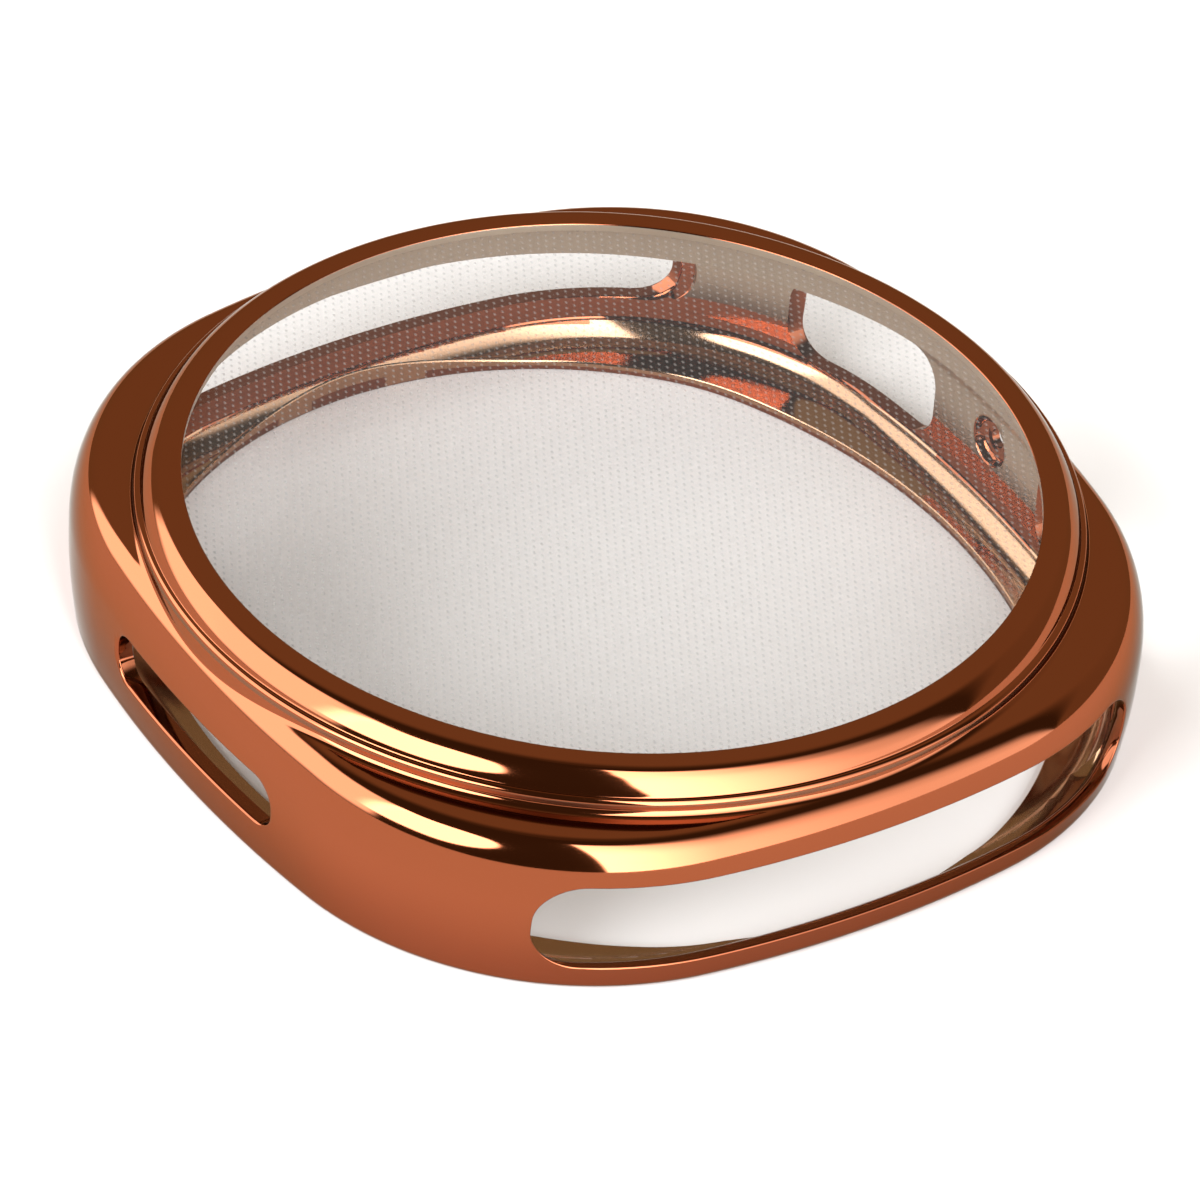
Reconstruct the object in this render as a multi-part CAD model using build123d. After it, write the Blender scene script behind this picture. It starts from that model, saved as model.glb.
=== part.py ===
from build123d import *
import math
import os

# Slip-on protective shell for a cushion-shaped watch, with a clear screen film.
# Units are mm. +Z up through the screen, +Y toward 12 o'clock, +X toward 3 o'clock.
# Origin: centre of the underside.

# ---- outline of the body (cushion: four long side arcs, four corner arcs)
half_width_x = 21.40        # 3 / 9 o'clock half width at the girth
half_width_y = 22.06        # 12 / 6 o'clock half width at the girth
total_height = 9.58
smaller_half = min(half_width_x, half_width_y)
side_radius_12_6 = 2.467 * half_width_x     # long arcs facing +Y and -Y
side_radius_3_9 = 2.729 * half_width_y      # long arcs facing +X and -X
corner_radius = 0.718 * smaller_half

# ---- body wall section (inset from the outline, height)
girth_z = 0.522 * total_height
shoulder_z = total_height - 1.78
shoulder_inset = 1.32
foot_inset = 0.40
foot_round = 0.60
wall = 0.90
deck = 0.80                 # thickness of the shoulder plate
lip = 0.50                  # thickness of the inward lip
lip_cove = 1.60             # inside radius between wall and lip
section_reach = 0.29 * smaller_half         # how far plate and lip run in before they are trimmed

# ---- raised round bezel
bezel_base_radius = smaller_half - 0.60
bezel_step_radius = bezel_base_radius - 0.30
window_radius = bezel_base_radius - 2.05
collar_radius = bezel_base_radius - 0.80    # round pocket for the watch's own bezel
bezel_step_z = total_height - 1.08
bezel_top_z = total_height
bezel_roll = 0.26           # rounded edge of the lower step
bezel_foot_z = shoulder_z - 1.15

# ---- film, seated under the rim
film_radius = bezel_base_radius - 1.10
film_thickness = 0.25
bond_thickness = 0.10
bond_inner_radius = window_radius + 0.20
bond_outer_radius = film_radius - 0.08
seat_radius = film_radius + 0.15
seat_z = bezel_top_z - 0.38               # underside of the rim

# ---- bottom opening (cushion)
mouth_half_x = half_width_x - 2.83
mouth_half_y = half_width_y - 1.21
mouth_radius_12_6 = 1.025 * mouth_half_x
mouth_radius_3_9 = 1.284 * mouth_half_y
mouth_corner_radius = 0.662 * min(mouth_half_x, mouth_half_y)

# ---- openings in the wall
strap_half_width = 0.71 * half_width_x
strap_top_z = girth_z + 0.88
strap_floor_6_z = 0.28 * girth_z
strap_floor_12_z = 0.53 * girth_z
strap_corner_6 = 0.445 * (strap_top_z - strap_floor_6_z)
strap_corner_12 = 0.465 * (strap_top_z - strap_floor_12_z)
vent_half_length = 6.3
vent_floor_z = 0.46 * girth_z
vent_top_z = girth_z - 0.15
vent_corner = 0.45 * (vent_top_z - vent_floor_z)
control_centre_y = 0.5      # middle of the control group
control_offset_y = 8.4      # from the middle to each button opening
button_length = 8.7
button_floor_z = 0.30 * girth_z
button_top_z = girth_z + 0.95
button_corner = 0.36 * (button_top_z - button_floor_z)
mic_z = girth_z - 0.75
mic_dimple_radius = 1.15
mic_dimple_depth = 0.50
mic_hole_radius = 0.45


def cushion_arcs(half_x, half_y, r_y, r_x, r_c):
    """Centres, radii and end angles of the first-quadrant arcs."""
    c1 = (0.0, half_y - r_y)
    c2 = (half_x - r_x, 0.0)
    d1, d2 = r_y - r_c, r_x - r_c
    dx, dy = c2[0] - c1[0], c2[1] - c1[1]
    d = math.hypot(dx, dy)
    t = (d1 * d1 - d2 * d2 + d * d) / (2 * d)
    h = math.sqrt(max(d1 * d1 - t * t, 0.0))
    ux, uy = dx / d, dy / d
    p = (c1[0] + t * ux + h * uy, c1[1] + t * uy - h * ux)
    q = (c1[0] + t * ux - h * uy, c1[1] + t * uy + h * ux)
    cc = p if p[0] + p[1] > q[0] + q[1] else q
    a1 = math.atan2(cc[1] - c1[1], cc[0] - c1[0])
    a2 = math.atan2(cc[1] - c2[1], cc[0] - c2[0])
    return c1, c2, cc, a1, a2


def cushion_face(half_x, half_y, r_y, r_x, r_c):
    """Cushion outline as a face in XY, made of eight tangent arcs."""
    c1, c2, cc, a1, a2 = cushion_arcs(half_x, half_y, r_y, r_x, r_c)

    def on(c, r, a):
        return (c[0] + r * math.cos(a), c[1] + r * math.sin(a))

    e0, e1 = on(c2, r_x, a2), on(c1, r_y, a1)
    m = on(cc, r_c, (a1 + a2) / 2)
    pts = [e0, m, e1]
    edges = [
        ThreePointArc((e0[0], -e0[1]), (half_x, 0), e0),
        ThreePointArc(e0, m, e1),
        ThreePointArc(e1, (0, half_y), (-e1[0], e1[1])),
        ThreePointArc((-e1[0], e1[1]), (-m[0], m[1]), (-e0[0], e0[1])),
        ThreePointArc((-e0[0], e0[1]), (-half_x, 0), (-e0[0], -e0[1])),
        ThreePointArc((-e0[0], -e0[1]), (-m[0], -m[1]), (-e1[0], -e1[1])),
        ThreePointArc((-e1[0], -e1[1]), (0, -half_y), (e1[0], -e1[1])),
        ThreePointArc((e1[0], -e1[1]), (m[0], -m[1]), (e0[0], -e0[1])),
    ]
    return make_face(edges)


def wall_section(r):
    """Closed C-shaped wall section in XZ, for an arc of radius r about Z."""
    def p(i, z):
        return (r - i, 0, z)

    side_h = girth_z - foot_round
    side_r = (side_h ** 2 + foot_inset ** 2) / (2 * foot_inset)
    s_mid = math.asin(side_h / side_r) / 2
    k = math.cos(math.radians(45))
    in_top = shoulder_z - deck
    cove_top = girth_z + 0.7
    e = [
        ThreePointArc(p(foot_inset + foot_round, 0),
                      p(foot_inset + foot_round * (1 - k), foot_round * (1 - k)),
                      p(foot_inset, foot_round)),
        ThreePointArc(p(foot_inset, foot_round),
                      p(side_r * (1 - math.cos(s_mid)), girth_z - side_r * math.sin(s_mid)),
                      p(0, girth_z)),
    ]
    # shoulder: quarter ellipse as a smooth spline
    n = 6
    q = [p(shoulder_inset * (1 - math.cos(math.pi / 2 * j / n)),
           girth_z + (shoulder_z - girth_z) * math.sin(math.pi / 2 * j / n)) for j in range(n + 1)]
    e.append(Spline(*q, tangents=[(0, 0, 1), (-1, 0, 0)]))
    e.append(Line(q[-1], p(section_reach, shoulder_z)))
    e.append(Line(p(section_reach, shoulder_z), p(section_reach, in_top)))
    e.append(Line(p(section_reach, in_top), p(wall + shoulder_inset, in_top)))
    n = 4
    w = [p(wall + shoulder_inset * (1 - math.sin(math.pi / 2 * j / n)),
           cove_top + (in_top - cove_top) * math.cos(math.pi / 2 * j / n)) for j in range(n + 1)]
    e.append(Spline(*w, tangents=[(1, 0, 0), (0, 0, -1)]))
    e.append(Line(w[-1], p(wall, lip + lip_cove)))
    e.append(ThreePointArc(p(wall, lip + lip_cove),
                           p(wall + lip_cove * (1 - k), lip + lip_cove * (1 - k)),
                           p(wall + lip_cove, lip)))
    e.append(Line(p(wall + lip_cove, lip), p(section_reach, lip)))
    e.append(Line(p(section_reach, lip), p(section_reach, 0)))
    e.append(Line(p(section_reach, 0), p(foot_inset + foot_round, 0)))
    return make_face(e)


def swept_sector(c, r, a_from, a_to):
    """Wall section turned about a vertical axis through c, between two angles."""
    face = wall_section(r).rotate(Axis.Z, math.degrees(a_from)).moved(Location((c[0], c[1], 0)))
    return revolve(face, Axis((c[0], c[1], 0), (0, 0, 1)), math.degrees(a_to - a_from))


# ---- body shell: eight turned sectors
c1, c2, cc, a1, a2 = cushion_arcs(half_width_x, half_width_y,
                                  side_radius_12_6, side_radius_3_9, corner_radius)
sectors = []
sectors.append(swept_sector(c2, side_radius_3_9, -a2, a2))
sectors.append(swept_sector(cc, corner_radius, a2, a1))
sectors.append(swept_sector(c1, side_radius_12_6, a1, math.pi - a1))
sectors.append(swept_sector((-cc[0], cc[1]), corner_radius, math.pi - a1, math.pi - a2))
sectors.append(swept_sector((-c2[0], 0), side_radius_3_9, math.pi - a2, math.pi + a2))
sectors.append(swept_sector((-cc[0], -cc[1]), corner_radius, math.pi + a2, math.pi + a1))
sectors.append(swept_sector((0, -c1[1]), side_radius_12_6, math.pi + a1, 2 * math.pi - a1))
sectors.append(swept_sector((cc[0], -cc[1]), corner_radius, 2 * math.pi - a1, 2 * math.pi - a2))
shell = sectors[0]
for s in sectors[1:]:
    shell = shell + s

# ---- trim the plate to the collar, and the lip to the mouth
shell = shell - Pos(0, 0, bezel_foot_z) * Cylinder(collar_radius, 6, align=(Align.CENTER, Align.CENTER, Align.MIN))
mouth = extrude(cushion_face(mouth_half_x, mouth_half_y, mouth_radius_12_6,
                             mouth_radius_3_9, mouth_corner_radius), lip + 1.0)
shell = shell - Pos(0, 0, -0.5) * mouth

# ---- bezel ring, turned about Z
rim = [
    (collar_radius, bezel_foot_z),
    (bezel_base_radius, bezel_foot_z),
    (bezel_base_radius, bezel_step_z - bezel_roll),
]
roll_k = bezel_roll * (1 - math.cos(math.radians(45)))
crest_r = window_radius + 0.45
ring_edges = [Line((rim[j][0], 0, rim[j][1]), (rim[j + 1][0], 0, rim[j + 1][1])) for j in range(len(rim) - 1)]
ring_edges += [
    ThreePointArc((bezel_base_radius, 0, bezel_step_z - bezel_roll),
                  (bezel_base_radius - roll_k, 0, bezel_step_z - roll_k),
                  (bezel_base_radius - bezel_roll, 0, bezel_step_z)),
    Line((bezel_base_radius - bezel_roll, 0, bezel_step_z), (bezel_step_radius, 0, bezel_step_z)),
    Spline((bezel_step_radius, 0, bezel_step_z),
           (bezel_step_radius - 0.30, 0, bezel_top_z - 0.52),
           (bezel_step_radius - 0.65, 0, bezel_top_z - 0.15),
           (crest_r, 0, bezel_top_z),
           tangents=[(-0.4, 0, 1), (-1, 0, 0)]),
    Line((crest_r, 0, bezel_top_z), (window_radius + 0.12, 0, bezel_top_z - 0.03)),
    Line((window_radius + 0.12, 0, bezel_top_z - 0.03), (window_radius, 0, bezel_top_z - 0.14)),
    Line((window_radius, 0, bezel_top_z - 0.14), (window_radius, 0, seat_z)),
    Line((window_radius, 0, seat_z), (seat_radius, 0, seat_z)),
    Line((seat_radius, 0, seat_z), (seat_radius, 0, seat_z - bond_thickness - film_thickness - 0.15)),
    Line((seat_radius, 0, seat_z - bond_thickness - film_thickness - 0.15),
         (collar_radius, 0, seat_z - bond_thickness - film_thickness - 0.30)),
    Line((collar_radius, 0, seat_z - bond_thickness - film_thickness - 0.30), (collar_radius, 0, bezel_foot_z)),
]
ring = revolve(make_face(ring_edges), Axis.Z, 360)
frame = shell + ring

# ---- openings through the wall
def window_y(half_len, z0, z1, r, y0, y1):
    """Rounded rectangle in XZ, cut along Y from y0 to y1."""
    sk = Plane(origin=(0, y0, (z0 + z1) / 2), x_dir=(1, 0, 0), z_dir=(0, 1, 0)) * RectangleRounded(2 * half_len, z1 - z0, r)
    return extrude(sk, y1 - y0)


def window_x(y_mid, half_len, z0, z1, r, x0, x1):
    """Rounded rectangle in YZ, cut along X from x0 to x1."""
    sk = Plane(origin=(x0, y_mid, (z0 + z1) / 2), x_dir=(0, 1, 0), z_dir=(1, 0, 0)) * RectangleRounded(2 * half_len, z1 - z0, r)
    return extrude(sk, x1 - x0)


frame = frame - window_y(strap_half_width, strap_floor_12_z, strap_top_z, strap_corner_12, 12.0, 26.0)
frame = frame - window_y(strap_half_width, strap_floor_6_z, strap_top_z, strap_corner_6, -26.0, -12.0)
frame = frame - window_x(0, vent_half_length, vent_floor_z, vent_top_z, vent_corner, -26.0, -16.0)
for side in (1, -1):
    frame = frame - window_x(control_centre_y + side * control_offset_y, button_length / 2,
                             button_floor_z, button_top_z, button_corner, 16.0, 26.0)
mic_wall_x = half_width_x - wall
frame = frame - Pos(mic_wall_x, control_centre_y, mic_z) * Rot(0, 90, 0) * Cylinder(mic_dimple_radius, 2 * mic_dimple_depth)
frame = frame - Pos(mic_wall_x, control_centre_y, mic_z) * Rot(0, 90, 0) * Cylinder(mic_hole_radius, 4.0)

# ---- film and its bond
bond_z = seat_z - bond_thickness
film_bond = Pos(0, 0, bond_z) * (
    Cylinder(bond_outer_radius, bond_thickness, align=(Align.CENTER, Align.CENTER, Align.MIN))
    - Cylinder(bond_inner_radius, bond_thickness, align=(Align.CENTER, Align.CENTER, Align.MIN)))
film = Pos(0, 0, bond_z - film_thickness) * Cylinder(
    film_radius, film_thickness, align=(Align.CENTER, Align.CENTER, Align.MIN))

os.makedirs("parts", exist_ok=True)
for name, shape in (("plated_frame", frame), ("film_bond_ring", film_bond), ("screen_film", film)):
    solids = shape.solids()
    bb = shape.bounding_box()
    print(name, "solids", len(solids), "valid", shape.is_valid, "vol", round(sum(s.volume for s in solids), 2),
          "box", [round(v, 3) for v in (bb.min.X, bb.min.Y, bb.min.Z, bb.max.X, bb.max.Y, bb.max.Z)])
    export_step(shape, "parts/" + name + ".step")
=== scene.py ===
import math

import bpy
import numpy as np
from mathutils import Matrix, Vector

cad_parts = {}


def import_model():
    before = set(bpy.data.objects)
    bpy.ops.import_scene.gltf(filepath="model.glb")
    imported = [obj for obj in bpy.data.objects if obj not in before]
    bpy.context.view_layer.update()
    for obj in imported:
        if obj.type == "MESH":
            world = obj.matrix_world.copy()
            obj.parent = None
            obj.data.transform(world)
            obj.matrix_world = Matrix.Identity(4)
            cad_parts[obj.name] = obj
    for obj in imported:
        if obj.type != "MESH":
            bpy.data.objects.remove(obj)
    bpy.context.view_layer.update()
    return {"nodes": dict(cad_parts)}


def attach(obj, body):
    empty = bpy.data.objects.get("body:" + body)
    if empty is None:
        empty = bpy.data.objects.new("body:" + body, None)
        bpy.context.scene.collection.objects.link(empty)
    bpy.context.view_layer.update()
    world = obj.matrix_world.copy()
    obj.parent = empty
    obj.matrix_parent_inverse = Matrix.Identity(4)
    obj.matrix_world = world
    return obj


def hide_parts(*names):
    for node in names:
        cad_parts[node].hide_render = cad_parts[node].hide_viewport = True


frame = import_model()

SCENE = bpy.context.scene
MM = 0.001
TAU = 2 * math.pi

# ------------------------------------------------------------------ sizes, mm
HALF_X = 21.40
HALF_Y = 22.06
SIDE_R_Y = 52.79
SIDE_R_X = 60.20
CORNER_R = 15.365
# a cushion outline: half sizes, side radii and corner radius
BODY = (HALF_X, HALF_Y, SIDE_R_Y, SIDE_R_X, CORNER_R)
MOUTH = (18.57, 20.85, 19.03, 26.77, 12.29)
GIRTH_Z = 5.00
SHOULDER_Z = 7.80
SHOULDER_IN = 1.32
FOOT_IN = 0.40
FOOT_R = 0.60
WALL = 0.90
DECK_Z = 7.00
INNER_TOP_Z = GIRTH_Z + 0.7
LIP = 0.50
COVE = 1.60
GROOVE_R = 0.36
BASE_R = 20.80
COLLAR_R = 20.00
TOP_Z = 9.58
STEP_Z = 8.50
WINDOW_R = 18.75
SEAT_R = 19.85
SEAT_Z = 9.20
FLAT_END_R = 18.5
N_TURN = 540
SHARP_ANGLE = math.radians(38)

# openings
STRAP_HALF = 15.19
OPENING_TOP_Z = 5.88
SILL_12_Z = 2.65
SILL_6_Z = 1.40
VENT_HALF = 6.30
VENT_Z = (2.30, 4.85)
CONTROL_Y = 0.5
CONTROL_OFF = 8.4
BUTTON_HALF = 4.35
BUTTON_Z = (1.50, 5.95)
BUTTON_R = 1.60
MIC_Z = GIRTH_Z - 0.75
EDGE_R = 0.16
# how far a cut runs on past each face of the wall
PAST_WALL = 0.12

# view direction of the studio, degrees
VIEW_AZ = -35.564
VIEW_EL = 37.847
VIEW_ROLL = 5.012

# ------------------------------------------------------------------ colours
COPPER = (0.293, 0.0735, 0.027, 1)
# painted shade: darker copper toward the foot
COPPER_FOOT_PAINTED_SHADE = (0.195, 0.044, 0.015, 1)
# painted shade: darker, browner copper in the groove round the bezel
GROOVE_PAINTED_SHADE = (0.19, 0.080, 0.042, 1)
EDGE_TINT = (0.50, 0.50, 0.45, 1)
INNER_LIP = (0.37, 0.185, 0.100, 1)
# painted shade on the lower inner wall
INNER_LOW_PAINTED_SHADE = (0.10, 0.055, 0.042, 1)
INNER_HIGH = (0.44, 0.335, 0.25, 1)
ADHESIVE = (0.72, 0.70, 0.64, 1)
FILM = (0.085, 0.070, 0.061, 1)
FILM_DOT = (0.218, 0.168, 0.142, 1)
DOT_PITCH = 0.41 * MM
FLOOR = (0.68, 0.557, 0.486, 1)
PANEL_LIGHT = (1.0, 1.22, 1.40, 1)
ROOM_LIGHT = (1.0, 0.86, 0.54, 1)


# ------------------------------------------------------------------ outline
def arc_frame(half_x, half_y, r_y, r_x, r_c):
    """Centres of the first-quadrant arcs of a cushion outline, and their joint angles."""
    c1 = np.array([0.0, half_y - r_y])
    c2 = np.array([half_x - r_x, 0.0])
    d1 = r_y - r_c
    d2 = r_x - r_c
    v = c2 - c1
    d = np.hypot(*v)
    t = (d1 * d1 - d2 * d2 + d * d) / (2 * d)
    h = math.sqrt(max(d1 * d1 - t * t, 0))
    u = v / d
    w = np.array([u[1], -u[0]])
    p = c1 + t * u + h * w
    q = c1 + t * u - h * w
    cc = p if p.sum() > q.sum() else q
    return c1, c2, cc, math.atan2(*(cc - c1)[::-1]), math.atan2(*(cc - c2)[::-1])


def polar_radius(theta, inset, shape=BODY):
    """Distance from the Z axis to the outline moved in by inset, along each angle theta."""
    _, _, r_y, r_x, r_c = shape
    c1, c2, cc, a1, a2 = arc_frame(*shape)
    ct = np.abs(np.cos(theta))
    st = np.abs(np.sin(theta))
    theta, inset = np.broadcast_arrays(theta, np.asarray(inset, float))

    def ray(c, r):
        b = ct * c[0] + st * c[1]
        return b + np.sqrt(np.maximum(b * b - (c[0] ** 2 + c[1] ** 2 - r * r), 0))

    ang = np.arctan2(st, ct)
    side_x0 = c1[0] + (r_y - inset) * math.cos(a1)
    side_y0 = c1[1] + (r_y - inset) * math.sin(a1)
    end_x0 = c2[0] + (r_x - inset) * math.cos(a2)
    end_y0 = c2[1] + (r_x - inset) * math.sin(a2)
    on_end_or_corner = np.where(ang <= np.arctan2(end_y0, end_x0), ray(c2, r_x - inset), ray(cc, r_c - inset))
    return np.where(ang >= np.arctan2(side_y0, side_x0), ray(c1, r_y - inset), on_end_or_corner)


def side_y(x, inset):
    """Distance from the X axis to the +Y side of the outline moved in by inset."""
    c1, _, cc, a1, _ = arc_frame(*BODY)
    x = np.abs(x)
    on_side = c1[1] + np.sqrt(np.maximum((SIDE_R_Y - inset) ** 2 - x ** 2, 0))
    on_corner = cc[1] + np.sqrt(np.maximum((CORNER_R - inset) ** 2 - (x - cc[0]) ** 2, 0))
    return np.where(x <= (SIDE_R_Y - inset) * math.cos(a1), on_side, on_corner)


def side_x(y, inset):
    """Distance from the Y axis to the +X side of the outline moved in by inset."""
    _, c2, cc, _, a2 = arc_frame(*BODY)
    y = np.abs(y)
    on_side = c2[0] + np.sqrt(np.maximum((SIDE_R_X - inset) ** 2 - y ** 2, 0))
    on_corner = cc[0] + np.sqrt(np.maximum((CORNER_R - inset) ** 2 - (y - cc[1]) ** 2, 0))
    return np.where(y <= (SIDE_R_X - inset) * math.sin(a2), on_side, on_corner)


def wall_inset(z):
    """How far the outer wall lies inside the girth outline at height z."""
    z = np.asarray(z, float)
    rise = (z - GIRTH_Z) / (SHOULDER_Z - GIRTH_Z)
    up = SHOULDER_IN * (1 - np.sqrt(np.clip(1 - rise ** 2, 0, 1)))
    side_r = ((GIRTH_Z - FOOT_R) ** 2 + FOOT_IN ** 2) / (2 * FOOT_IN)
    down = side_r - np.sqrt(side_r ** 2 - np.minimum(GIRTH_Z - z, GIRTH_Z - FOOT_R) ** 2)
    foot = FOOT_IN + FOOT_R - np.sqrt(np.clip(FOOT_R ** 2 - (FOOT_R - z) ** 2, 0, None))
    return np.where(z >= GIRTH_Z, up, np.where(z >= FOOT_R, down, foot))


# ------------------------------------------------------------------ shell profile
def resample(pts, n):
    """n points evenly along the polyline pts (k, 2)."""
    s = np.concatenate([[0], np.cumsum(np.hypot(*np.diff(pts, axis=0).T))])
    u = np.linspace(0, 1, n)
    return np.stack([np.interp(u * s[-1], s, pts[:, k]) for k in (0, 1)], 1)


def arc(cx, cz, r, a0, a1, n):
    """n points on an arc about (cx, cz), from a0 to a1 degrees."""
    a = np.radians(np.linspace(a0, a1, n))
    return np.stack([cx + r * np.cos(a), cz + r * np.sin(a)], 1)


def smooth(pts, n):
    """Catmull-Rom through pts, n samples."""
    k = len(pts)
    ext = np.vstack([2 * pts[0] - pts[1], pts, 2 * pts[-1] - pts[-2]])
    out = []
    for u in np.linspace(0, k - 1 - 1e-9, n):
        i = int(u)
        t = u - i
        a, b, c, d = ext[i:i + 4]
        square = (2 * a - 5 * b + 4 * c - d) * t * t
        cube = (3 * b - a - 3 * c + d) * t ** 3
        out.append(0.5 * ((2 * b) + (c - a) * t + square + cube))
    return np.array(out)


def bezel_top():
    """Fixed part of the profile, from the lower step over the crest to the collar."""
    roll = np.radians(np.linspace(8, 90, 8))
    roll_r = BASE_R - 0.22 + 0.22 * np.cos(roll)
    roll_z = STEP_Z - 0.29 + 0.29 * np.sin(roll)
    p = np.stack([roll_r, roll_z], 1).tolist()
    p += [[20.55, STEP_Z]]
    p += arc(20.54, STEP_Z + 0.05, 0.05, 262, 205, 4).tolist()
    crest = np.array([
        [20.475, 8.58], [20.42, 8.71], [20.33, 8.88], [20.21, 9.06], [20.07, 9.24], [19.95, 9.36],
        [19.85, 9.445], [19.74, 9.505], [19.60, 9.545], [19.42, 9.567], [19.20, 9.577], [18.95, 9.577]])
    p += smooth(crest, 30).tolist()
    p += arc(18.81, 9.517, 0.06, 90, 180, 6).tolist()[1:]
    p += [[WINDOW_R, 9.38], [WINDOW_R, SEAT_Z + 0.05], [WINDOW_R, SEAT_Z + 0.015]]
    p += [[WINDOW_R + 0.015, SEAT_Z], [WINDOW_R + 0.06, SEAT_Z], [SEAT_R - 0.04, SEAT_Z]]
    p += [[SEAT_R, SEAT_Z], [SEAT_R, SEAT_Z - 0.04], [SEAT_R, SEAT_Z - 0.45]]
    p += [[SEAT_R, SEAT_Z - 0.49], [SEAT_R + 0.03, SEAT_Z - 0.52]]
    p += [[COLLAR_R - 0.02, SEAT_Z - 0.63], [COLLAR_R, SEAT_Z - 0.66], [COLLAR_R, SEAT_Z - 0.72]]
    return np.array(p)


BEZEL = bezel_top()


def outer_side(theta):
    """Foot, wall, shoulder and the groove between shoulder and bezel."""
    foot_z = [0.0, 0.02, 0.08, 0.18, 0.30, 0.44, 0.60]
    side_z = np.concatenate([foot_z, np.linspace(FOOT_R, GIRTH_Z, 15)[1:]])
    lower = np.stack([polar_radius(theta, wall_inset(side_z)), side_z], 1)
    psi = np.linspace(0, math.pi / 2, 90)
    up_in = SHOULDER_IN * (1 - np.cos(psi))
    up_z = GIRTH_Z + (SHOULDER_Z - GIRTH_Z) * np.sin(psi)
    upper = np.stack([polar_radius(theta, up_in), up_z], 1)
    flat = [[r, SHOULDER_Z] for r in np.linspace(upper[-1, 0], FLAT_END_R, 60)[1:]]
    upper = np.vstack([upper, flat])
    # groove: a ball rolled along both the shoulder and the bezel wall
    t = np.gradient(upper, axis=0)
    t /= np.hypot(t[:, 0], t[:, 1])[:, None]
    off = upper + GROOVE_R * np.stack([t[:, 1], -t[:, 0]], 1)
    ball_r = BASE_R + GROOVE_R
    ball_z = np.interp(-ball_r, -off[:, 0], off[:, 1])
    k = np.interp(-ball_r, -off[:, 0], np.arange(len(off)))
    i = int(k)
    touch = upper[i] + (k - i) * (upper[i + 1] - upper[i])
    shoulder = resample(np.vstack([upper[:i + 1], touch[None]]), 26)
    start = math.degrees(math.atan2(touch[1] - ball_z, touch[0] - BASE_R - GROOVE_R)) % 360
    groove = arc(ball_r, ball_z, GROOVE_R, start, 176, 11)
    return np.vstack([lower, shoulder[1:], groove[1:]])


def inner_side(theta):
    """Collar, the curve under the shoulder and the straight inner wall."""
    phi = np.linspace(0, math.pi / 2, 60)
    in_in = WALL + SHOULDER_IN * (1 - np.sin(phi))
    in_z = INNER_TOP_Z + (DECK_Z - GIRTH_Z - 0.7) * np.cos(phi)
    inner = np.stack([polar_radius(theta, in_in), in_z], 1)
    if inner[0, 0] < COLLAR_R:
        j = int(np.searchsorted(inner[:, 0], COLLAR_R))
        f = (COLLAR_R - inner[j - 1, 0]) / (inner[j, 0] - inner[j - 1, 0])
        start = inner[j - 1] + f * (inner[j] - inner[j - 1])
        inner = np.vstack([start[None], inner[j:]])
    else:
        inner = np.vstack([[[COLLAR_R, DECK_Z]], inner])
    end_z = inner[0, 1]
    collar = np.array([[COLLAR_R, z] for z in np.linspace(SEAT_Z - 0.80, end_z + 0.10, 4)])
    edge = np.array([[COLLAR_R, end_z + 0.05], [COLLAR_R + 0.01, end_z + 0.015]])
    curve = resample(inner, 16)[1:]
    wall_r = float(polar_radius(theta, WALL))
    wall = np.array([[wall_r, z] for z in np.linspace(INNER_TOP_Z, LIP + COVE, 9)[1:]])
    return np.vstack([collar, edge, curve, wall])


def lip_side(theta, foot_r):
    """Cove, lip edge and underside, back to the foot."""
    m = float(polar_radius(theta, 0, MOUTH))
    om = np.linspace(0, math.pi / 2, 50)
    cove_in = WALL + COVE * (1 - np.cos(om))
    cove_z = LIP + COVE * (1 - np.sin(om))
    cove = np.stack([polar_radius(theta, cove_in), cove_z], 1)
    if cove[-1, 0] > m:
        cove = np.vstack([cove, [[r, LIP] for r in np.linspace(cove[-1, 0], m - 1, 40)[1:]]])
    edge = 0.12
    j = int(np.searchsorted(-cove[:, 0], -(m + edge)))
    f = (cove[j - 1, 0] - m - edge) / (cove[j - 1, 0] - cove[j, 0])
    end = cove[j - 1] + f * (cove[j] - cove[j - 1])
    top = resample(np.vstack([cove[:j], end[None]]), 14)[1:]
    lip_z = end[1]
    lip = np.array([
        [m + 0.06, lip_z], [m + 0.02, lip_z - 0.035], [m, lip_z - 0.10], [m, 0.5 * lip_z],
        [m, 0.10], [m + 0.03, 0.03], [m + 0.10, 0.0]])
    under = np.array([[m + 0.10 + (foot_r - m - 0.10) * u, 0.0] for u in (0.08, 0.5, 0.9)])
    return np.vstack([top, lip, under])


def profile(theta):
    """Closed section of the shell in the half plane at angle theta, as (r, z) points."""
    outer = outer_side(theta)
    return np.vstack([outer, BEZEL, inner_side(theta), lip_side(theta, outer[0, 0])])


def mesh_object(name, verts, faces, mat, smooth_faces=True, unit=MM):
    """A linked mesh object with one material; unit is the length of one unit of verts in metres."""
    me = bpy.data.meshes.new(name)
    me.from_pydata((np.asarray(verts) * unit).tolist(), [], faces)
    me.materials.append(mat)
    me.polygons.foreach_set("use_smooth", [smooth_faces] * len(me.polygons))
    me.update()
    ob = bpy.data.objects.new(name, me)
    SCENE.collection.objects.link(ob)
    return ob


def shell_mesh():
    """The whole shell before its openings are cut: the profile carried round the outline."""
    th = np.linspace(0, TAU, N_TURN, endpoint=False)
    rows = [profile(t) for t in th]
    m = len(rows[0])
    rings = []
    for r, t in zip(rows, th):
        rings.append(np.stack([r[:, 0] * math.cos(t), r[:, 0] * math.sin(t), r[:, 1]], 1))
    f = []
    for i in range(N_TURN):
        a = i * m
        b = ((i + 1) % N_TURN) * m
        for j in range(m):
            k = (j + 1) % m
            f.append((a + j, b + j, b + k, a + k))
    return np.concatenate(rings), f


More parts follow.
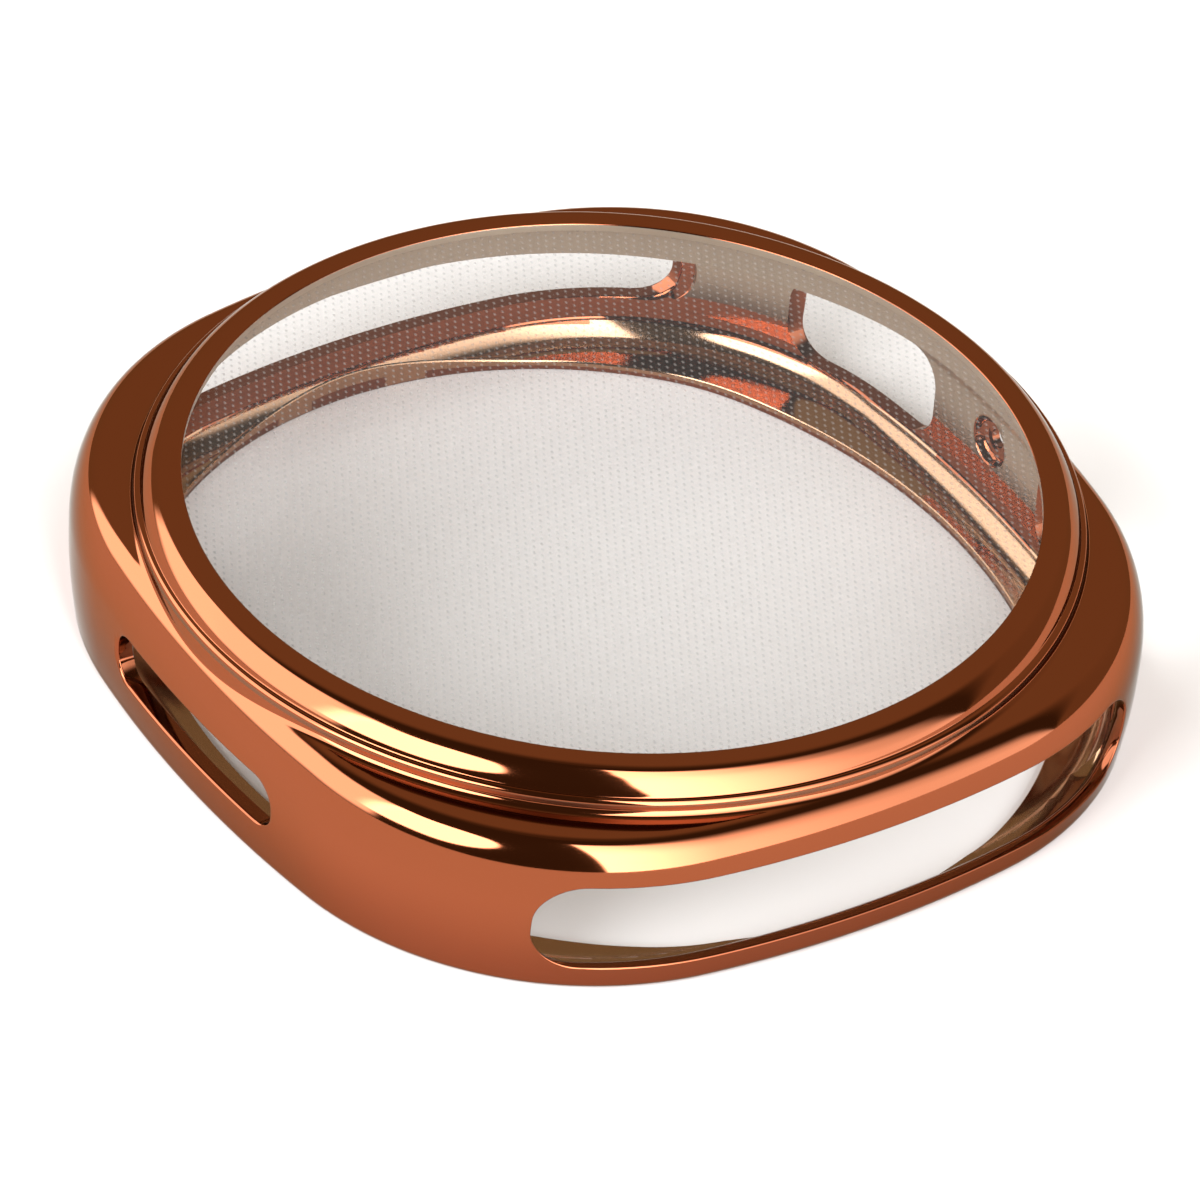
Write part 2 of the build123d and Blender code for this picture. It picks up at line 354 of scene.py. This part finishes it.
# ------------------------------------------------------------------ cutters
def rounded_window(half, z0, z1, r, n_arc=14, n_len=40, n_side=8):
    """Closed contour of a rounded rectangle as points and outward normals, counter-clockwise."""
    pts, nor = [], []
    corners = [
        (half - r, z1 - r, 0), (-half + r, z1 - r, 90),
        (-half + r, z0 + r, 180), (half - r, z0 + r, 270)]
    for i, (cx, cz, a) in enumerate(corners):
        for t in np.radians(np.linspace(a, a + 90, n_arc)):
            pts.append((cx + r * math.cos(t), cz + r * math.sin(t)))
            nor.append((math.cos(t), math.sin(t)))
        nxt = corners[(i + 1) % 4]
        end = pts[-1]
        t = math.radians(nxt[2])
        start = (nxt[0] + r * math.cos(t), nxt[1] + r * math.sin(t))
        n = n_len if a in (0, 180) else n_side
        for u in np.linspace(0, 1, n)[1:-1]:
            pts.append((end[0] + u * (start[0] - end[0]), end[1] + u * (start[1] - end[1])))
            nor.append((math.cos(t), math.sin(t)))
    return np.array(pts), np.array(nor)


def flare(rho_out, rho_in, thick):
    """(depth, spread) pairs that round the outer edge of a cut and, where rho_in is set, the inner one."""
    first = math.radians(24)

    def wide(rho):
        """Spread where the first slope of a rounded edge has run out past the wall."""
        drop = rho * (1 - math.cos(first))
        return rho * (1 - math.sin(first)) + (PAST_WALL + drop) / math.tan(first)

    turn = np.radians([24, 42, 60, 76, 90])
    rows = [(-PAST_WALL, wide(rho_out))]
    rows += [(rho_out * (1 - math.cos(p)), rho_out * (1 - math.sin(p))) for p in turn]
    if rho_in:
        for p in turn[::-1]:
            rows.append((thick - rho_in * (1 - math.cos(p)), rho_in * (1 - math.sin(p))))
        rows.append((thick + PAST_WALL, wide(rho_in)))
    return rows


def cutter(axis, sign, centre, half, z_range, r, rho_out, rho_in, inner_end):
    """A closed solid that cuts one rounded window through the wall on the given side."""
    pts, nor = rounded_window(half, z_range[0], z_range[1], r)
    side = side_y if axis == "y" else side_x
    rows = flare(rho_out, rho_in, WALL)
    loops = []
    for depth, spread in [(None, rows[0][1])] + rows + [(0, rows[-1][1])]:
        q = pts + spread * nor
        across = q[:, 0] + centre
        z = q[:, 1]
        out = side(across, wall_inset(np.clip(z, 0.05, 7.9))) - (depth or 0)
        if depth is None:
            out = 0 * out + HALF_Y + 1
        elif len(loops) == len(rows) + 1:
            out = 0 * out + inner_end
        row = [across, sign * out, z] if axis == "y" else [sign * out, across, z]
        loops.append(np.stack(row, 1))
    n = len(pts)
    f = []
    for k in range(len(loops) - 1):
        for j in range(n):
            i = (j + 1) % n
            f.append((k * n + j, k * n + i, (k + 1) * n + i, (k + 1) * n + j))
    f.append(tuple(range(n))[::-1])
    last = (len(loops) - 1) * n
    f.append(tuple(range(last, last + n)))
    mirrored = (axis == "x") == (sign > 0)
    return np.concatenate(loops), [q[::-1] for q in f] if mirrored else f


def round_cutter(x0, y0, z0, rows, n=48):
    """Turned cutter about an axis along X, rows of (x, radius)."""
    a = np.linspace(0, TAU, n, endpoint=False)
    rings = [np.stack([0 * a + x0 + x, y0 + r * np.cos(a), z0 + r * np.sin(a)], 1) for x, r in rows]
    f = []
    for k in range(len(rows) - 1):
        for j in range(n):
            i = (j + 1) % n
            f.append((k * n + j, k * n + i, (k + 1) * n + i, (k + 1) * n + j))
    last = (len(rows) - 1) * n
    f += [tuple(range(n))[::-1], tuple(range(last, last + n))]
    return np.concatenate(rings), f


def join(parts):
    """Several (vertices, faces) pairs as one."""
    verts, faces, base = [], [], 0
    for v, f in parts:
        verts.append(v)
        faces += [tuple(i + base for i in q) for q in f]
        base += len(v)
    return np.concatenate(verts), faces


def all_cutters():
    """Strap openings at 12 and 6, vent at 9, two control openings and the microphone hole at 3."""
    strap_12 = (SILL_12_Z, OPENING_TOP_Z)
    strap_6 = (SILL_6_Z, OPENING_TOP_Z)
    mic_rows = [
        (-1.0, 1.36), (-0.03, 1.30), (0.02, 1.22), (0.10, 1.15), (0.32, 1.10),
        (0.46, 0.95), (0.50, 0.70), (0.50, 0.45), (1.5, 0.45)]
    cuts = [
        cutter("y", 1, 0, STRAP_HALF, strap_12, 1.50, EDGE_R, 0.14, 15.0),
        cutter("y", -1, 0, STRAP_HALF, strap_6, 1.99, 0.12, 0.62, 15.0),
        cutter("x", -1, 0, VENT_HALF, VENT_Z, 1.147, EDGE_R, 0.10, 18.0)]
    for y in (CONTROL_Y + CONTROL_OFF, CONTROL_Y - CONTROL_OFF):
        cuts.append(cutter("x", 1, y, BUTTON_HALF, BUTTON_Z, BUTTON_R, EDGE_R, 0, 17.5))
    cuts.append(round_cutter(HALF_X - WALL, CONTROL_Y, MIC_Z, mic_rows))
    return cuts


# ------------------------------------------------------------------ node helpers
class Maths:
    """Small helper that strings Math nodes together."""

    def __init__(self, tree):
        self.tree = tree

    def put(self, op, *args):
        """Output of a Math node that applies op to args, each a number or another output."""
        n = self.tree.nodes.new("ShaderNodeMath")
        n.operation = op
        for i, a in enumerate(args):
            if isinstance(a, (int, float)):
                n.inputs[i].default_value = a
            else:
                self.tree.links.new(a, n.inputs[i])
        return n.outputs[0]

    def line(self, x, slope, base):
        """slope * x + base."""
        return self.put("ADD", self.put("MULTIPLY", x, slope), base)

    def length(self, x, y):
        """Square root of x * x + y * y."""
        return self.put("SQRT", self.put("ADD", self.put("MULTIPLY", x, x), self.put("MULTIPLY", y, y)))

    def step(self, x, lo, hi):
        """Smooth 0 to 1 as x goes from lo to hi."""
        n = self.tree.nodes.new("ShaderNodeMapRange")
        n.interpolation_type = "SMOOTHSTEP"
        self.tree.links.new(x, n.inputs["Value"])
        n.inputs["From Min"].default_value = lo
        n.inputs["From Max"].default_value = hi
        return n.outputs["Result"]

    def fall(self, x, lo, hi):
        """Smooth 1 to 0 as x goes from lo to hi."""
        return self.put("SUBTRACT", 1.0, self.step(x, lo, hi))

    def band(self, x, lo, hi, soft):
        """1 between lo and hi, with soft edges."""
        return self.put("MULTIPLY", self.step(x, lo - soft, lo + soft), self.fall(x, hi - soft, hi + soft))

    def mix(self, fac, low, high):
        """Colour low at fac 0, high at fac 1."""
        n = self.tree.nodes.new("ShaderNodeMix")
        n.data_type = "RGBA"
        self.tree.links.new(fac, n.inputs["Factor"])
        for socket, colour in ((n.inputs[6], low), (n.inputs[7], high)):
            if isinstance(colour, tuple):
                socket.default_value = colour
            else:
                self.tree.links.new(colour, socket)
        return n.outputs[2]


def object_axes(m):
    """X, Y and Z outputs of the object coordinates, in metres."""
    co = m.node_tree.nodes.new("ShaderNodeTexCoord")
    sep = m.node_tree.nodes.new("ShaderNodeSeparateXYZ")
    m.node_tree.links.new(co.outputs["Object"], sep.inputs[0])
    return sep.outputs


def new_material(name):
    """A node material, its Principled shader and a Maths helper for its tree."""
    m = bpy.data.materials.new(name)
    m.use_nodes = True
    return m, m.node_tree.nodes["Principled BSDF"], Maths(m.node_tree)


# ------------------------------------------------------------------ materials
def plated_material():
    """Polished plating, duller and with painted shade in the groove round the bezel, and a little darker
    toward the foot with painted shade.
    """
    m, b, k = new_material("plated_copper")
    links = m.node_tree.links
    x, y, z = object_axes(m)
    ring = k.band(k.length(x, y), 20.775 * MM, 20.835 * MM, 0.01 * MM)
    # the groove mask makes the plating rougher there and also paints shade into the crease
    groove = k.put("MULTIPLY", ring, k.band(z, 8.10 * MM, 8.30 * MM, 0.015 * MM))
    links.new(k.line(groove, 0.25, 0.06), b.inputs["Roughness"])
    # painted shade: the wall darkens toward the foot, where it would reflect the shadowed floor
    body = k.mix(k.step(z, 0.0, GIRTH_Z * MM), COPPER_FOOT_PAINTED_SHADE, COPPER)
    links.new(k.mix(groove, body, GROOVE_PAINTED_SHADE), b.inputs["Base Color"])
    b.inputs["Metallic"].default_value = 1.0
    b.inputs["Specular Tint"].default_value = EDGE_TINT
    b.inputs["Coat Weight"].default_value = 0.14
    b.inputs["Coat Roughness"].default_value = 0.03
    return m


def inner_material():
    """Inner face of the plating: coppery on the lip, dark with painted shade above it, pale and duller under
    the bezel.
    """
    m, b, k = new_material("inner_plating")
    links = m.node_tree.links
    z = object_axes(m)[2]
    # painted shade: the inner wall is painted dark low down and fades to the pale plating higher up
    high = k.step(z, 2.4 * MM, 4.8 * MM)
    wall = k.mix(high, INNER_LOW_PAINTED_SHADE, INNER_HIGH)
    links.new(k.mix(k.step(z, 1.9 * MM, 2.3 * MM), INNER_LIP, wall), b.inputs["Base Color"])
    links.new(k.line(high, 0.22, 0.12), b.inputs["Roughness"])
    b.inputs["Metallic"].default_value = 1.0
    return m


def bond_material():
    """Clear adhesive."""
    m, b, _ = new_material("clear_adhesive")
    b.inputs["Base Color"].default_value = ADHESIVE
    b.inputs["Roughness"].default_value = 0.30
    b.inputs["Alpha"].default_value = 0.35
    return m


def film_material():
    """Clear film with a faint grainy veil and a triangular lattice of tiny dots."""
    m, b, k = new_material("clear_film")
    nodes = m.node_tree.nodes
    links = m.node_tree.links
    x, y, _ = object_axes(m)
    row = math.sqrt(3)

    def spot(shift):
        """Distance from the nearest point of a rectangular lattice, in pitches."""
        u = k.put("FRACT", k.put("ADD", k.put("DIVIDE", x, DOT_PITCH), shift))
        v = k.put("FRACT", k.put("ADD", k.put("DIVIDE", y, DOT_PITCH * row), shift))
        u = k.put("SUBTRACT", u, 0.5)
        v = k.put("MULTIPLY", k.put("SUBTRACT", v, 0.5), row)
        return k.length(u, v)

    dots = k.fall(k.put("MINIMUM", spot(50.0), spot(50.5)), 0.08, 0.21)
    grain = nodes.new("ShaderNodeTexNoise")
    grain.inputs["Scale"].default_value = 5200
    grain.inputs["Detail"].default_value = 2
    place = nodes.new("ShaderNodeTexCoord")
    links.new(place.outputs["Object"], grain.inputs["Vector"])
    veil = k.line(k.put("SUBTRACT", grain.outputs["Fac"], 0.5), 0.12, 0.125)
    links.new(k.put("ADD", veil, k.put("MULTIPLY", dots, 0.26)), b.inputs["Alpha"])
    links.new(k.mix(dots, FILM, FILM_DOT), b.inputs["Base Color"])
    b.inputs["Roughness"].default_value = 0.35
    return m


# ------------------------------------------------------------------ camera, world, floor
def camera():
    """A long lens above and to the left of the 6 o'clock side."""
    az = math.radians(VIEW_AZ)
    el = math.radians(VIEW_EL)
    roll = math.radians(VIEW_ROLL)
    distance = 0.71465
    target = Vector((-0.89, -1.05, 4.20)) * MM
    back = Vector((math.sin(az) * math.cos(el), -math.cos(az) * math.cos(el), math.sin(el)))
    r0 = Vector((math.cos(az), math.sin(az), 0))
    u0 = back.cross(r0)
    right = math.cos(roll) * r0 + math.sin(roll) * u0
    up = -math.sin(roll) * r0 + math.cos(roll) * u0
    data = bpy.data.cameras.new("camera")
    ob = bpy.data.objects.new("camera", data)
    SCENE.collection.objects.link(ob)
    m = Matrix((right, up, back)).transposed().to_4x4()
    m.translation = target + back * distance
    ob.matrix_world = m
    data.sensor_width = 36.0
    data.lens = 492.4269
    data.clip_start = 0.01
    data.clip_end = 60
    SCENE.camera = ob


def right_panel(k, az, tilt):
    """Its near edge leans, it fades outward, and its upper edge softens outward."""
    edge = k.line(tilt, -0.13, 14.5)
    shape = k.step(k.put("SUBTRACT", az, edge), -0.8, 0.8)
    shape = k.put("MULTIPLY", shape, k.fall(az, 84, 100))
    soft = k.line(k.step(az, 18, 70), 11.0, 3.0)
    over = k.put("DIVIDE", k.put("SUBTRACT", tilt, 68), soft)
    shape = k.put("MULTIPLY", shape, k.fall(over, -1, 1))
    shape = k.put("MULTIPLY", shape, k.step(tilt, -6, 0))
    fade = k.line(k.fall(az, 8, 70), 10.6, 3.1)
    low = k.line(k.fall(tilt, 30, 66), 0.28, 0.72)
    return k.put("MULTIPLY", shape, k.put("MULTIPLY", fade, low))


def left_panel(k, az, el):
    """A bright near part with a rounded end, and a dimmer far part."""
    du = k.put("MAXIMUM", k.put("SUBTRACT", az, -40), 0.0)
    dv = k.put("SUBTRACT", el, 28)
    reach = k.length(k.put("DIVIDE", du, 21.0), k.put("DIVIDE", dv, 19.0))
    near = k.put("MULTIPLY", k.fall(reach, 0.93, 1.05), k.step(az, -66, -56))
    far = k.put("MULTIPLY", k.band(az, -128, -58, 3), k.band(el, 2, 46, 3))
    return k.put("ADD", k.put("MULTIPLY", near, 12.5), k.put("MULTIPLY", far, 5.0))


def dim_room(k, az, tilt):
    """Everything that is not a panel, a little brighter behind and at the sides."""
    rear = k.put("MULTIPLY", k.step(tilt, 100, 128), 0.325)
    side = k.put("MULTIPLY", k.step(k.put("ABSOLUTE", az), 100, 150), 0.064)
    return k.put("ADD", 0.102, k.put("ADD", rear, side))


def world():
    """A studio: two tall light panels toward the camera with a dark gap between them, and a dim room."""
    w = bpy.data.worlds.new("studio")
    SCENE.world = w
    w.use_nodes = True
    t = w.node_tree
    k = Maths(t)
    co = t.nodes.new("ShaderNodeTexCoord")
    turn = t.nodes.new("ShaderNodeVectorRotate")
    turn.rotation_type = "Z_AXIS"
    turn.inputs["Angle"].default_value = math.radians(-VIEW_AZ)
    t.links.new(co.outputs["Generated"], turn.inputs["Vector"])
    sep = t.nodes.new("ShaderNodeSeparateXYZ")
    t.links.new(turn.outputs["Vector"], sep.inputs[0])
    x, y, z = sep.outputs
    # after the turn the front is -Y; az is 0 there and positive to the right, tilt passes 90 overhead
    front = k.put("MULTIPLY", y, -1.0)
    az = k.put("MULTIPLY", k.put("ARCTAN2", x, front), 180 / math.pi)
    tilt = k.put("MULTIPLY", k.put("ARCTAN2", z, front), 180 / math.pi)
    el = k.put("MULTIPLY", k.put("ARCSINE", z), 180 / math.pi)
    panels = t.nodes["Background"]
    t.links.new(k.put("ADD", right_panel(k, az, tilt), left_panel(k, az, el)), panels.inputs["Strength"])
    panels.inputs["Color"].default_value = PANEL_LIGHT
    room = t.nodes.new("ShaderNodeBackground")
    t.links.new(dim_room(k, az, tilt), room.inputs["Strength"])
    room.inputs["Color"].default_value = ROOM_LIGHT
    both = t.nodes.new("ShaderNodeAddShader")
    t.links.new(panels.outputs[0], both.inputs[0])
    t.links.new(room.outputs[0], both.inputs[1])
    t.links.new(both.outputs[0], t.nodes["World Output"].inputs["Surface"])


def floor():
    """A plain pale floor; its tint offsets the cool panels so that it reads white."""
    m, b, _ = new_material("floor_pale")
    b.inputs["Base Color"].default_value = FLOOR
    b.inputs["Roughness"].default_value = 1.0
    b.inputs["Specular IOR Level"].default_value = 0.0
    half = 6000
    corners = [(-half, -half, 0), (half, -half, 0), (half, half, 0), (-half, half, 0)]
    ob = mesh_object("studio_floor", corners, [(0, 1, 2, 3)], m, False)


# ------------------------------------------------------------------ pieces
def inner_faces(me):
    """Give the second material to the faces on the inside of the wall, lip, collar and rim."""
    n = len(me.polygons)
    centre = np.empty(3 * n)
    normal = np.empty(3 * n)
    me.polygons.foreach_get("center", centre)
    me.polygons.foreach_get("normal", normal)
    centre = centre.reshape(-1, 3) / MM
    normal = normal.reshape(-1, 3)
    r = np.hypot(centre[:, 0], centre[:, 1])
    z = centre[:, 2]
    outline = polar_radius(np.arctan2(centre[:, 1], centre[:, 0]), 0)
    depth = outline - r - wall_inset(np.clip(z, 0, SHOULDER_Z - 0.05))
    toward_axis = normal[:, 0] * centre[:, 0] + normal[:, 1] * centre[:, 1] < 0
    inward = toward_axis | (normal[:, 2] < -0.5) | (z < 3.5)
    collar = (r < COLLAR_R + 0.3) & (z < SEAT_Z - 0.8) & (z > 6.3)
    rim = (r < WINDOW_R + 0.11) & (z > SEAT_Z - 0.01) & (z < TOP_Z - 0.05)
    inside = collar | rim | ((depth > WALL - 0.08) & inward & (z > 0.3) & (z < 8.4))
    me.polygons.foreach_set("material_index", inside.astype(int))


def cut_shell(plated):
    """The shell with its openings cut; the cut is made in mm and then scaled to metres."""
    verts, faces = shell_mesh()
    shell = mesh_object("plated_shell", verts, faces, plated, unit=1.0)
    verts, faces = join(all_cutters())
    tool = mesh_object("cut_tool", verts, faces, plated, unit=1.0)
    mod = shell.modifiers.new("cut", "BOOLEAN")
    mod.operation = "DIFFERENCE"
    mod.solver = "MANIFOLD"
    mod.object = tool
    deps = bpy.context.evaluated_depsgraph_get()
    cut = bpy.data.meshes.new_from_object(shell.evaluated_get(deps))
    shell.modifiers.clear()
    shell.data = cut
    cut.transform(Matrix.Scale(MM, 4))
    bpy.data.objects.remove(tool)
    cut.polygons.foreach_set("use_smooth", [True] * len(cut.polygons))
    cut.set_sharp_from_angle(angle=SHARP_ANGLE)
    return shell


SCENE.view_settings.view_transform = "Standard"
camera()
world()
floor()

shell = cut_shell(plated_material())
shell.data.materials.append(inner_material())
inner_faces(shell.data)
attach(shell, "root")
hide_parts("plated_frame")

for name, mat in (("screen_film", film_material()), ("film_bond_ring", bond_material())):
    frame["nodes"][name].data.materials.clear()
    frame["nodes"][name].data.materials.append(mat)
